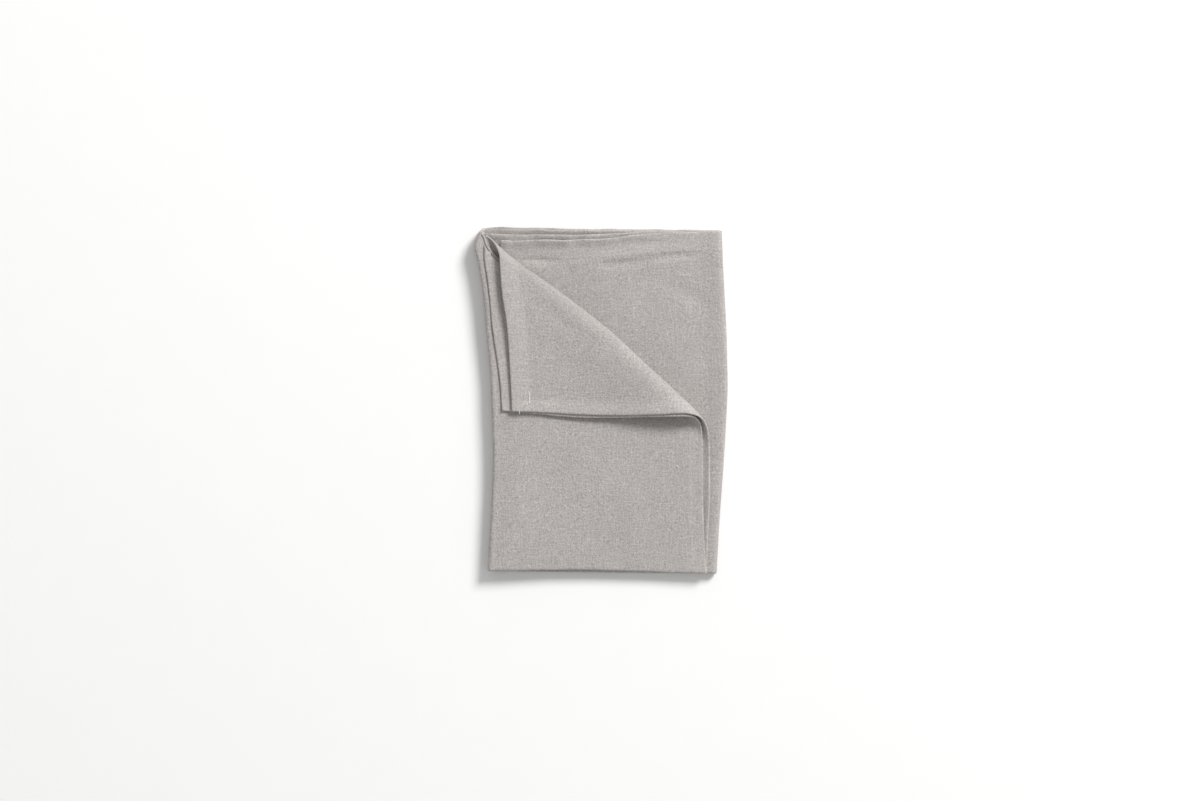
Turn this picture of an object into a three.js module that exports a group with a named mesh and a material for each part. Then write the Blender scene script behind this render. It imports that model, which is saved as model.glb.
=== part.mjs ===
// Folded cloth napkin: one square of hemmed cotton, folded in half, then in three like a letter,
// and laid down flat, with the upper right corner of the top panel turned back over it.
//
// Millimetres, +Z up. X runs across the folded napkin, Y from the half fold to the loose hems.
// The origin is the centre of its bounding box, on the surface that it lies on.
//
// The doubled cloth is walked in stations: 0 is the loose edge of the middle panel, 0 to 1 that
// panel, 1 to 2 the right fold, 2 to 3 the base panel, 3 to 4 the left fold, and 4 to 5 the top
// panel up to its loose edge. Side +1 is the outer layer of the doubled cloth, -1 the inner one.

import * as THREE from 'three';

// Cloth and spacing
const CLOTH_THICKNESS = 1.0;
const LAYER_PITCH = 1.5;
const PANEL_PITCH = 3.0;
const HALF_CLOTH = CLOTH_THICKNESS / 2;
const HALF_PITCH = LAYER_PITCH / 2;
const HALF_PAIR = HALF_PITCH + HALF_CLOTH;
const BASE_LEVEL = HALF_PAIR;
const CLOTH_COLOUR = '#bdb7b3';

// Stations around the section
const MIDDLE_EDGE = 0;
const RIGHT_FOLD = 1;
const BASE_PANEL = 2;
const LEFT_FOLD = 3;
const TOP_PANEL = 4;
const TOP_EDGE = 5;

// The two side folds, seen from above: their outlines, and how far the pile swells there
const sideFolds = [
  { y: -113, left: -73.0, right: 76.2, swell: 0.0 },
  { y: -80, left: -71.0, right: 78.0, swell: 0.2 },
  { y: -39, left: -69.2, right: 80.6, swell: 0.4 },
  { y: 5, left: -70.7, right: 83.3, swell: 0.5 },
  { y: 32, left: -72.2, right: 83.0, swell: 0.6 },
  { y: 65, left: -75.1, right: 81.6, swell: 0.8 },
  { y: 88, left: -79.4, right: 80.4, swell: 1.1 },
  { y: 99, left: -82.0, right: 80.0, swell: 1.2 },
  { y: 106, left: -80.6, right: 79.7, swell: 1.0 },
  { y: 113, left: -76.5, right: 79.4, swell: 0.8 },
];
const MIDDLE_SWELL_SHARE = 0.4;

// The half fold that closes the doubled cloth, as its lowest Y at each station
const halfFold = [
  { station: 0, y: -111.5 },
  { station: 1, y: -112.8 },
  { station: 2, y: -113.0 },
  { station: 3, y: -111.5 },
  { station: 4, y: -111.0 },
  { station: 4.4, y: -110.4 },
  { station: 5, y: -112.8 },
];

// The loose hems opposite it, as the Y that each layer reaches. The hems climb the left fold
// slantwise, because the turned corner pulls the top panel down there.
const looseHems = [
  { station: 0, inner: 107.9, outer: 103.7 },
  { station: 0.45, inner: 107.5, outer: 104.7 },
  { station: 0.65, inner: 109.5, outer: 107.9 },
  { station: 1, inner: 110.4, outer: 109.6 },
  { station: 2, inner: 110.4, outer: 110.8 },
  { station: 2.5, inner: 110.4, outer: 111.2 },
  { station: 3, inner: 111.5, outer: 112.5 },
  { station: 3.5, inner: 108.6, outer: 109.2 },
  { station: 4, inner: 102.0, outer: 102.0 },
];

// How far the loose edge of the middle panel stands off the bend of the left fold
const MIDDLE_EDGE_OFFSET = 2.5;
const middleEdgeRetreat = { inner: 0.8, outer: 9.3 };

// The loose right edge of the top panel
const rightEdge = [
  { y: -113, inner: 69.2, outer: 68.7 },
  { y: -91, inner: 69.5, outer: 67.8 },
  { y: -65, inner: 70.8, outer: 67.4 },
  { y: -30, inner: 71.1, outer: 66.8 },
];

// The rolled edge of the turned corner, from its tip at the left fold down to the right edge:
// how far it bows out of a straight line, and its reach and height as half an oval
const rolledEdge = [
  { along: 0, bow: 0.0, reach: 5.2, rise: 2.9, mouth: 2.4 },
  { along: 20, bow: 0.8, reach: 4.7, rise: 2.8, mouth: 1.2 },
  { along: 50, bow: 4.2, reach: 4.4, rise: 3.0, mouth: 0.2 },
  { along: 80, bow: 7.1, reach: 4.6, rise: 3.3, mouth: 0.0 },
  { along: 103, bow: 8.6, reach: 5.0, rise: 3.8, mouth: 0.0 },
  { along: 130, bow: 7.2, reach: 5.6, rise: 4.6, mouth: 0.0 },
  { along: 160, bow: 6.2, reach: 6.3, rise: 5.8, mouth: 0.0 },
  { along: 180, bow: 4.6, reach: 6.6, rise: 6.4, mouth: 0.0 },
  { along: 199, bow: 0.0, reach: 6.7, rise: 6.6, mouth: 0.0 },
];
const ROLL_TIP_Y = 102.0;
const rollLength = { inner: 199, outer: 193.5 };
const rollDirection = new THREE.Vector3(0.7515, -0.6597, 0).normalize();
const rollOutward = new THREE.Vector3(0.6597, 0.7515, 0).normalize();

// How far the hems slide along the roll while they go round it, at its two ends
const tipSlide = { inner: 17, outer: 6 };
const endSlide = { inner: 28, outer: 20 };

// The two loose edges of the turned corner, where it lies on the top panel
const cornerSideEdge = [
  { y: -6.5, inner: -56.6, outer: -63.1 },
  { y: 12.7, inner: -57.5, outer: -64.4 },
  { y: 48, inner: -59.8, outer: -69.4 },
  { y: 70, inner: -63.0, outer: -71.4 },
  { y: 92, inner: -64.6, outer: -74.6 },
];
const cornerLowerEdge = [
  { x: -60, inner: -6.4, outer: -6.4 },
  { x: -38.7, inner: -7.2, outer: -8.5 },
  { x: -12.7, inner: -8.6, outer: -10.6 },
  { x: 13.3, inner: -9.1, outer: -10.7 },
  { x: 39.3, inner: -8.5, outer: -10.1 },
  { x: 54.0, inner: -7.6, outer: -9.9 },
];
const cornerTipX = { inner: -56.6, outer: -63.1 };
const CORNER_TIP_Y = -6.5;
const CORNER_ROUNDING = 0.015;
const CORNER_SETTLE = 34;

// Steps of the mesh
const stationSteps = [
  { from: MIDDLE_EDGE, to: RIGHT_FOLD, steps: 7 },
  { from: RIGHT_FOLD, to: BASE_PANEL, steps: 6 },
  { from: BASE_PANEL, to: LEFT_FOLD, steps: 6 },
  { from: LEFT_FOLD, to: TOP_PANEL, steps: 8 },
  { from: TOP_PANEL, to: TOP_EDGE, steps: 13 },
];
const reachSteps = [
  { from: 0, to: 0.8, steps: 9 },
  { from: 0.8, to: 1, steps: 8 },
  { from: 1, to: 2, steps: 8 },
  { from: 2, to: 3, steps: 8 },
];
const FULL_REACH = 3;
const HALF_FOLD_ROWS = 6;
const NORMAL_STEP = 1e-4;

const lerp = THREE.MathUtils.lerp;

// One column of a table, along a smooth curve through its rows.
function read(table, key, at, column) {
  const last = table.length - 1;
  let row = 0;
  while (row < last - 1 && at > table[row + 1][key]) {
    row += 1;
  }
  const span = table[row + 1][key] - table[row][key];
  const t = THREE.MathUtils.clamp((at - table[row][key]) / span, 0, 1);
  const slope = (index) => {
    const before = table[Math.max(index - 1, 0)];
    const after = table[Math.min(index + 1, last)];
    return (after[column] - before[column]) / (after[key] - before[key]);
  };
  const low = table[row][column];
  const high = table[row + 1][column];
  const t2 = t * t;
  const t3 = t2 * t;
  return (2 * t3 - 3 * t2 + 1) * low + (t3 - 2 * t2 + t) * span * slope(row)
    + (3 * t2 - 2 * t3) * high + (t3 - t2) * span * slope(row + 1);
}

// A value between the two layers: inner at side -1, outer at side +1.
function bySide(pair, side) {
  return lerp(pair.inner, pair.outer, (side + 1) / 2);
}

function readSide(table, key, at, side) {
  return bySide({ inner: read(table, key, at, 'inner'), outer: read(table, key, at, 'outer') }, side);
}

// Levels, fold radii and fold centres of the section at one Y.
function sectionAt(y) {
  const swell = read(sideFolds, 'y', y, 'swell');
  const middleLevel = BASE_LEVEL + PANEL_PITCH + MIDDLE_SWELL_SHARE * swell;
  const topLevel = BASE_LEVEL + 2 * PANEL_PITCH + swell;
  const rightRadius = (middleLevel - BASE_LEVEL) / 2;
  const leftRadius = (topLevel - BASE_LEVEL) / 2;
  return {
    middleLevel,
    topLevel,
    rightRadius,
    leftRadius,
    rightCentre: read(sideFolds, 'y', y, 'right') - HALF_PAIR - rightRadius,
    leftCentre: read(sideFolds, 'y', y, 'left') + HALF_PAIR + leftRadius,
  };
}

function lowestRow(station, dip) {
  return read(halfFold, 'station', station, 'y') + HALF_PAIR - dip;
}

// Middle panel, right fold, base panel and left fold.
function wrappedPoint(station, share, side, dip) {
  const hem = readSide(looseHems, 'station', station, side);
  const y = lerp(lowestRow(station, dip), hem, share);
  const section = sectionAt(y);
  const offset = side * HALF_PITCH;
  if (station <= RIGHT_FOLD) {
    const standOff = MIDDLE_EDGE_OFFSET + bySide(middleEdgeRetreat, side) * share;
    const x = lerp(section.leftCentre + standOff, section.rightCentre, station);
    return new THREE.Vector3(x, y, section.middleLevel + offset);
  }
  if (station <= BASE_PANEL) {
    const angle = Math.PI / 2 - Math.PI * (station - RIGHT_FOLD);
    const radius = section.rightRadius + offset;
    const centre = BASE_LEVEL + section.rightRadius;
    return new THREE.Vector3(
      section.rightCentre + radius * Math.cos(angle), y, centre + radius * Math.sin(angle));
  }
  if (station <= LEFT_FOLD) {
    const x = lerp(section.rightCentre, section.leftCentre, station - BASE_PANEL);
    return new THREE.Vector3(x, y, BASE_LEVEL - offset);
  }
  const angle = -Math.PI / 2 - Math.PI * (station - LEFT_FOLD);
  const radius = section.leftRadius + offset;
  const centre = BASE_LEVEL + section.leftRadius;
  return new THREE.Vector3(
    section.leftCentre + radius * Math.cos(angle), y, centre + radius * Math.sin(angle));
}

// The line under the rolled edge where the top panel starts to curl up.
function curlLine(along) {
  const tip = new THREE.Vector3(sectionAt(ROLL_TIP_Y).leftCentre, ROLL_TIP_Y, 0);
  const reachChange = read(rolledEdge, 'along', along, 'reach') - rolledEdge[0].reach;
  const outward = read(rolledEdge, 'along', along, 'bow') - reachChange;
  return tip.addScaledVector(rollDirection, along).addScaledVector(rollOutward, outward);
}

// Top panel, filled in between the left fold, the half fold, its right edge and the curl line.
function panelPoint(across, share, side, dip) {
  const length = bySide(rollLength, side);
  const left = (t) => {
    const y = lerp(lowestRow(TOP_PANEL, dip), ROLL_TIP_Y, t);
    return new THREE.Vector3(sectionAt(y).leftCentre, y, 0);
  };
  const end = curlLine(length);
  const right = (t) => {
    const y = lerp(lowestRow(TOP_EDGE, dip), end.y, t);
    const miss = end.x - readSide(rightEdge, 'y', end.y, side);
    return new THREE.Vector3(readSide(rightEdge, 'y', y, side) + miss * t ** 4, y, 0);
  };
  const low = new THREE.Vector3(
    lerp(left(0).x, right(0).x, across), lowestRow(TOP_PANEL + across, dip), 0);
  const point = low.multiplyScalar(1 - share).addScaledVector(curlLine(across * length), share);
  point.addScaledVector(left(share), 1 - across).addScaledVector(right(share), across);
  point.addScaledVector(left(0), -(1 - across) * (1 - share));
  point.addScaledVector(right(0), -across * (1 - share));
  point.addScaledVector(left(1), -(1 - across) * share);
  point.addScaledVector(end, -across * share);
  point.z = sectionAt(point.y).topLevel + side * HALF_PITCH;
  return point;
}

// The rolled edge, half an oval round from the top panel to the turned corner.
function rolledPoint(across, turn, side) {
  const start = bySide(tipSlide, side) * turn;
  const finish = bySide(rollLength, side) - bySide(endSlide, side) * turn;
  const along = lerp(start, finish, across);
  const inset = HALF_PITCH * (side + 1);
  const mouth = read(rolledEdge, 'along', along, 'mouth') * (side + 1) / 2;
  const reach = read(rolledEdge, 'along', along, 'reach') - inset - mouth;
  const rise = read(rolledEdge, 'along', along, 'rise') - inset;
  const angle = Math.PI * turn;
  const point = curlLine(along);
  point.z = sectionAt(point.y).topLevel + side * HALF_PITCH + rise * (1 - Math.cos(angle));
  return point.addScaledVector(rollOutward, reach * Math.sin(angle));
}

// Height of the turned corner over a place on the top panel. It leaves the roll level and sinks
// until it lies on the panel.
function cornerHeight(point, side) {
  const topLevel = sectionAt(point.y).topLevel;
  const fromTip = point.clone().sub(curlLine(0));
  const along = fromTip.dot(rollDirection);
  const inward = curlLine(along).sub(point).dot(rollOutward);
  const rollTop = topLevel + 2 * read(rolledEdge, 'along', along, 'rise') - LAYER_PITCH;
  const settled = THREE.MathUtils.smoothstep(inward, 0, CORNER_SETTLE);
  return lerp(rollTop, topLevel + PANEL_PITCH, settled) - side * HALF_PITCH;
}

// The turned corner, in rows that shrink from the rolled edge to its tip.
function cornerPoint(across, depth, side) {
  const tipX = bySide(cornerTipX, side);
  const rollTip = rolledPoint(0, 1, side);
  const rollEnd = rolledPoint(1, 1, side);
  const blend = (1 - depth) ** 4;
  const sideY = lerp(rollTip.y, CORNER_TIP_Y, depth);
  const sideMiss = rollTip.x - readSide(cornerSideEdge, 'y', rollTip.y, side);
  const sideX = readSide(cornerSideEdge, 'y', sideY, side) + sideMiss * blend;
  const lowerX = lerp(rollEnd.x, tipX, depth);
  const lowerMiss = rollEnd.y - readSide(cornerLowerEdge, 'x', rollEnd.x, side);
  const lowerY = readSide(cornerLowerEdge, 'x', lowerX, side) + lowerMiss * blend;
  const bow = rolledPoint(across, 1, side).sub(rollTip.clone().lerp(rollEnd, across));
  const point = new THREE.Vector3(lerp(sideX, lowerX, across), lerp(sideY, lowerY, across), 0);
  point.addScaledVector(bow, 1 - depth);
  point.z = cornerHeight(point, side);
  return point;
}

// The middle of one layer. Reach 0 to 1 is the panels, 1 to 2 the roll, 2 to 3 the turned corner.
function layerPoint(station, reach, side, dip) {
  if (station <= TOP_PANEL && reach <= 1) {
    return wrappedPoint(station, reach, side, dip);
  }
  const across = Math.max(station - TOP_PANEL, 0);
  if (reach <= 1) {
    return panelPoint(across, reach, side, dip);
  }
  if (reach <= 2) {
    return rolledPoint(across, reach - 1, side);
  }
  return cornerPoint(across, (reach - 2) * (1 - CORNER_ROUNDING), side);
}

// The middle of the doubled cloth as one long strip: walk below 0 is the inner layer, 0 to 1
// the half fold, and above 1 the outer layer.
function stripPoint(station, walk) {
  if (walk < 0) {
    return layerPoint(station, -walk, -1, 0);
  }
  if (walk > 1) {
    return layerPoint(station, walk - 1, 1, 0);
  }
  const angle = Math.PI * (1 - walk);
  return layerPoint(station, 0, Math.cos(angle), HALF_PITCH * Math.sin(angle));
}

// How far a place on the strip lies from the half fold.
function reachOf(walk) {
  return Math.max(-walk, walk - 1, 0);
}

// The strip's two skins at one grid node, half the cloth's thickness to each side.
function skinPoints(station, walk, reachLimit) {
  const firstStation = reachOf(walk) > 1 ? TOP_PANEL : MIDDLE_EDGE;
  const lowStation = Math.max(station - NORMAL_STEP, firstStation);
  const highStation = Math.min(station + NORMAL_STEP, TOP_EDGE);
  const lowWalk = Math.max(walk - NORMAL_STEP, -reachLimit);
  const highWalk = Math.min(walk + NORMAL_STEP, 1 + reachLimit);
  const alongStation = stripPoint(highStation, walk).sub(stripPoint(lowStation, walk));
  const alongWalk = stripPoint(station, highWalk).sub(stripPoint(station, lowWalk));
  const normal = alongStation.cross(alongWalk).normalize();
  const middle = stripPoint(station, walk);
  return {
    outside: middle.clone().addScaledVector(normal, HALF_CLOTH),
    inside: middle.clone().addScaledVector(normal, -HALF_CLOTH),
  };
}

function evenSteps(from, to, steps) {
  return Array.from({ length: steps }, (_, index) => lerp(from, to, index / steps));
}

function stationList() {
  const stations = stationSteps.flatMap(({ from, to, steps }) => evenSteps(from, to, steps));
  return [...stations, TOP_EDGE];
}

function walkList() {
  const reaches = reachSteps.flatMap(({ from, to, steps }) => evenSteps(from, to, steps));
  reaches.push(FULL_REACH);
  const inner = reaches.map((reach) => -reach).reverse();
  const hairpin = evenSteps(0, 1, HALF_FOLD_ROWS).slice(1);
  const outer = reaches.map((reach) => 1 + reach);
  return [...inner, ...hairpin, ...outer];
}

// The closed solid: both skins over every cell of the strip, and a wall round its loose edges.
function makeNapkinGeometry() {
  const stations = stationList();
  const walks = walkList();
  const positions = [];
  const nodes = new Map();
  const nodeAt = (column, row) => {
    const key = `${column},${row}`;
    if (!nodes.has(key)) {
      const station = stations[column];
      const skins = skinPoints(station, walks[row], station < TOP_PANEL ? 1 : FULL_REACH);
      nodes.set(key, positions.length / 3);
      positions.push(...skins.outside.toArray(), ...skins.inside.toArray());
    }
    return nodes.get(key);
  };
  const isCloth = (column, row) => {
    const insideGrid = column >= 0 && row >= 0 && column < stations.length - 1 && row < walks.length - 1;
    if (!insideGrid) {
      return false;
    }
    const reach = Math.max(reachOf(walks[row]), reachOf(walks[row + 1]));
    return reach <= 1 || stations[column] >= TOP_PANEL;
  };
  const triangles = [];
  const addQuad = (a, b, c, d) => triangles.push(a, b, c, a, c, d);
  for (let column = 0; column < stations.length - 1; column += 1) {
    for (let row = 0; row < walks.length - 1; row += 1) {
      if (!isCloth(column, row)) {
        continue;
      }
      const corners = [
        nodeAt(column, row), nodeAt(column + 1, row),
        nodeAt(column + 1, row + 1), nodeAt(column, row + 1),
      ];
      const neighbours = [[column, row - 1], [column + 1, row], [column, row + 1], [column - 1, row]];
      const [a, b, c, d] = corners;
      addQuad(a, b, c, d);
      addQuad(d + 1, c + 1, b + 1, a + 1);
      neighbours.forEach(([nextColumn, nextRow], edge) => {
        if (!isCloth(nextColumn, nextRow)) {
          const from = corners[edge];
          const to = corners[(edge + 1) % 4];
          addQuad(to, from, from + 1, to + 1);
        }
      });
    }
  }
  const geometry = new THREE.BufferGeometry();
  geometry.setAttribute('position', new THREE.Float32BufferAttribute(positions, 3));
  geometry.setIndex(triangles);
  geometry.computeBoundingBox();
  const centre = geometry.boundingBox.getCenter(new THREE.Vector3());
  geometry.translate(-centre.x, -centre.y, -geometry.boundingBox.min.z);
  geometry.computeVertexNormals();
  return geometry;
}

const clothMaterial = new THREE.MeshStandardMaterial({
  color: CLOTH_COLOUR,
  roughness: 0.9,
  metalness: 0,
});

const napkin = new THREE.Mesh(makeNapkinGeometry(), clothMaterial);
napkin.name = 'napkin_cloth';

const group = new THREE.Group();
group.add(napkin);

export default group;
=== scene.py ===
"""A folded cloth napkin, dressed for its picture.

One square of hemmed slub cotton is folded in half, then in three like a letter, and laid flat. The
upper right corner of its top panel is turned back over it in a soft roll. The cloth is one sheet,
laid on its folds by a map from the flat square to the folded napkin. All sizes are in millimetres
until a mesh is made.

The flat square is measured in two ways. Across runs from 0 at the edge that ends on the top panel
to 450 at the edge that ends on the middle panel. Along runs from -225 at the inner layer's loose
hem, through 0 at the half fold, to 225 at the outer layer's loose hem.
"""

import logging
import math
from dataclasses import dataclass, field
from enum import Enum
from typing import NamedTuple, Sequence

import bpy
import numpy as np
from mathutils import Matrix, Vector


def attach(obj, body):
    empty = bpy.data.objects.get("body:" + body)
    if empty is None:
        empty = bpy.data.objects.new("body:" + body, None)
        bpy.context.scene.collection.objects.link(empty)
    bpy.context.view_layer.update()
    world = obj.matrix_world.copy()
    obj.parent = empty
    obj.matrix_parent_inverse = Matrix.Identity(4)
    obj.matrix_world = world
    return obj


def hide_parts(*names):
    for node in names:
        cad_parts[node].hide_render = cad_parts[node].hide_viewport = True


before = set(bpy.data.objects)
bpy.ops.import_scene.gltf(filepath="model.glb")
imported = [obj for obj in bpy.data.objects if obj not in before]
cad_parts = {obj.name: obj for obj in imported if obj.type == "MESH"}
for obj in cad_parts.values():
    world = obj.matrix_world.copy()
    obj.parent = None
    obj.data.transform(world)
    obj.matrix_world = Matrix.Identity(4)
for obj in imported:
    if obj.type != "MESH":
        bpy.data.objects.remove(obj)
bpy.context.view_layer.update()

MM = 0.001
CLOTH_NODE = "napkin_cloth"
BODY = "root"
FLAT_MAP = "flat_cloth"
THREAD_MAP = "along_thread"
BAKE_MAP = "OFBake"

Array = np.ndarray
Object = bpy.types.Object
Material = bpy.types.Material
Socket = bpy.types.NodeSocket
Feed = Socket | float | tuple

log = logging.getLogger("napkin")


class Panel(Enum):
    """The parts of the folded napkin that a crease can lie on."""

    MIDDLE = "middle panel"
    TOP = "top panel"
    CORNER = "turned corner"


class Face(Enum):
    """The two faces of the cloth, as the side of its middle that each one lies on."""

    RIGHT = 1.0
    WRONG = -1.0


class SideFoldRow(NamedTuple):
    """Outlines of both side folds and the swell of the pile at one height of the napkin."""

    y: float
    left: float
    right: float
    swell: float


class FoldEndRow(NamedTuple):
    """Lowest place of the half fold at one station round the section."""

    station: float
    y: float


class LayerRow(NamedTuple):
    """A place on the inner and on the outer layer, at one place along an edge."""

    at: float
    inner: float
    outer: float


class RollRow(NamedTuple):
    """The rolled edge at one place along it.

    Bow is how far its outline bows out. Reach and rise are the half widths and half heights of the
    inner layer's roll, and inset is how far inside its outline the outer layer's lies.
    """

    along: float
    bow: float
    reach: float
    rise: float
    inset: float


class Zones(NamedTuple):
    """Where the doubled cloth's panels and folds lie, at given heights of the napkin.

    The folds have centres and radii. The ends are the places across the flat cloth where the top
    panel, the left fold, the base panel and the right fold end.
    """

    left: Array
    left_radius: Array
    right: Array
    right_radius: Array
    top_edge: Array
    ends: tuple[Array, ...]


class Stretch(NamedTuple):
    """A stretch of the cloth that the mesh divides evenly."""

    start: float
    end: float
    step: float


def read_rows(rows: Sequence[tuple], key: str, column: str, at: Array) -> Array:
    """Reads one column of a table along a smooth curve through its rows.

    Args:
        rows: Named tuples, in rising order of their key.
        key: Name of the column that the places are given in.
        column: Name of the column to read.
        at: Places to read at. Past the table's ends its end rows hold.

    Returns:
        The column's value at each place.
    """
    places = np.array([getattr(row, key) for row in rows], float)
    values = np.array([getattr(row, column) for row in rows], float)
    last = len(rows) - 1
    before = np.maximum(np.arange(last + 1) - 1, 0)
    after = np.minimum(np.arange(last + 1) + 1, last)
    slopes = (values[after] - values[before]) / (places[after] - places[before])
    row = np.clip(np.searchsorted(places, at) - 1, 0, last - 1)
    span = places[row + 1] - places[row]
    t = np.clip((at - places[row]) / span, 0, 1)
    low = (2 * t**3 - 3 * t**2 + 1) * values[row] + (t**3 - 2 * t**2 + t) * span * slopes[row]
    high = (3 * t**2 - 2 * t**3) * values[row + 1] + (t**3 - t**2) * span * slopes[row + 1]
    return low + high


def blend(low: Array, high: Array, share: Array) -> Array:
    """Returns the value that lies a share of the way from low to high."""
    return low + (high - low) * share


def by_side(inner: Array, outer: Array, side: Array) -> Array:
    """Returns the inner layer's value at side -1, the outer's at +1, and their blend between."""
    return blend(inner, outer, (side + 1) / 2)


def ease(value: Array, start: float, end: float) -> Array:
    """Returns 0 before start, 1 after end, and a smooth rise between them."""
    t = np.clip((value - start) / (end - start), 0, 1)
    return t * t * (3 - 2 * t)


def by_layer(rows: Sequence[LayerRow], at: Array, side: Array) -> Array:
    """Reads a table of both layers, between its inner column at side -1 and its outer at +1."""
    return by_side(read_rows(rows, "at", "inner", at), read_rows(rows, "at", "outer", at), side)


def bell(distance: Array, reach: Array) -> Array:
    """Returns 1 at no distance, and a smooth fall to nearly nothing past the reach."""
    return np.exp(-((distance / reach) ** 2))


@dataclass(frozen=True)
class ClothCut:
    """The flat square: its side, its thickness and its hems.

    The hems are turned to the wrong side, so nearly all of their thickness is added there.
    """

    side: float = 450.0
    right_face: float = 0.38
    wrong_face: float = 0.38
    narrow_hem: float = 8.2
    wide_hem: float = 12.0
    stitch_inset: float = 1.0
    hem_right_face: float = 0.44
    hem_wrong_face: float = 0.66
    hem_step: float = 0.5
    stitch_groove: float = 0.10
    groove_width: float = 0.8

    @property
    def half(self) -> float:
        """Length of one layer, from the half fold to its loose hem."""
        return self.side / 2

    @property
    def narrow_seam(self) -> float:
        """How far in from its edge a narrow hem is sewn."""
        return self.narrow_hem - self.stitch_inset

    @property
    def wide_seam(self) -> float:
        """How far in from its edge a wide hem is sewn."""
        return self.wide_hem - self.stitch_inset

    def inward(self, across: Array, along: Array) -> tuple[Array, Array]:
        """Returns how far places lie in from the narrow hem's edge and from the wide one's."""
        return np.minimum(across, self.side - across), self.half - np.abs(along)

    def hem_share(self, across: Array, along: Array) -> Array:
        """Returns 1 on the hems, 0 on the single cloth, and the step between them."""
        narrow, wide = self.inward(across, along)
        past = np.minimum(narrow - self.narrow_hem, wide - self.wide_hem)
        return 1 - ease(past, 0, self.hem_step)

    def groove(self, across: Array, along: Array) -> Array:
        """Returns how deep the stitches pull each place in."""
        narrow, wide = self.inward(across, along)
        nearest = np.minimum(np.abs(narrow - self.narrow_seam), np.abs(wide - self.wide_seam))
        return self.stitch_groove * bell(nearest, self.groove_width)

    def half_thickness(self, across: Array, along: Array, face: Face) -> Array:
        """Measures from the middle of the cloth to one face.

        Args:
            across: Places across the flat cloth.
            along: Places along the flat cloth.
            face: The face to measure to.

        Returns:
            The distance at each place.
        """
        hem = self.hem_share(across, along)
        if face is Face.RIGHT:
            return blend(self.right_face, self.hem_right_face, hem) - self.groove(across, along)
        return blend(self.wrong_face, self.hem_wrong_face, hem)


@dataclass(frozen=True)
class SlowWaves:
    """The slight unevenness of cloth that has been folded and laid by hand."""

    height: float
    length: float
    seed: int
    count: int = 7
    length_range: tuple[float, float] = (0.7, 1.5)

    def at(self, x: Array, y: Array) -> Array:
        """Adds up a few long waves that run in fixed, chance directions.

        Args:
            x: Places across the napkin.
            y: Places up the napkin.

        Returns:
            The rise at each place.
        """
        draw = np.random.default_rng(self.seed)
        rise = np.zeros(np.broadcast(x, y).shape)
        for _ in range(self.count):
            heading = draw.uniform(0, math.pi)
            length = self.length * draw.uniform(*self.length_range)
            start = draw.uniform(0, 2 * math.pi)
            walk = x * math.cos(heading) + y * math.sin(heading)
            rise += np.sin(2 * math.pi * walk / length + start)
        return self.height * rise / math.sqrt(self.count)


@dataclass(frozen=True)
class Crease:
    """A soft ridge, or a trough where its height is negative, along a line on one panel."""

    panel: Panel
    start: tuple[float, float]
    end: tuple[float, float]
    half_width: float
    height: float
    bend: float = 0.0
    end_share: float = 0.35

    def at(self, x: Array, y: Array) -> Array:
        """Measures the crease, which fades from its middle to its ends and beyond them.

        Args:
            x: Places across the napkin.
            y: Places up the napkin.

        Returns:
            The rise that it gives each place.
        """
        run = np.subtract(self.end, self.start)
        length = float(np.hypot(*run))
        heading = run / length
        from_start = (x - self.start[0], y - self.start[1])
        share = (from_start[0] * heading[0] + from_start[1] * heading[1]) / length
        bow = self.bend * 4 * share * (1 - share)
        aside = from_start[1] * heading[0] - from_start[0] * heading[1] - bow
        past_end = np.maximum(np.abs(share - 0.5) - 0.5, 0) * length / (2 * self.half_width)
        taper = blend(self.end_share, 1, np.sin(math.pi * np.clip(share, 0, 1)))
        return self.height * taper * np.exp(-((aside / self.half_width) ** 2) - past_end**2)


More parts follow.
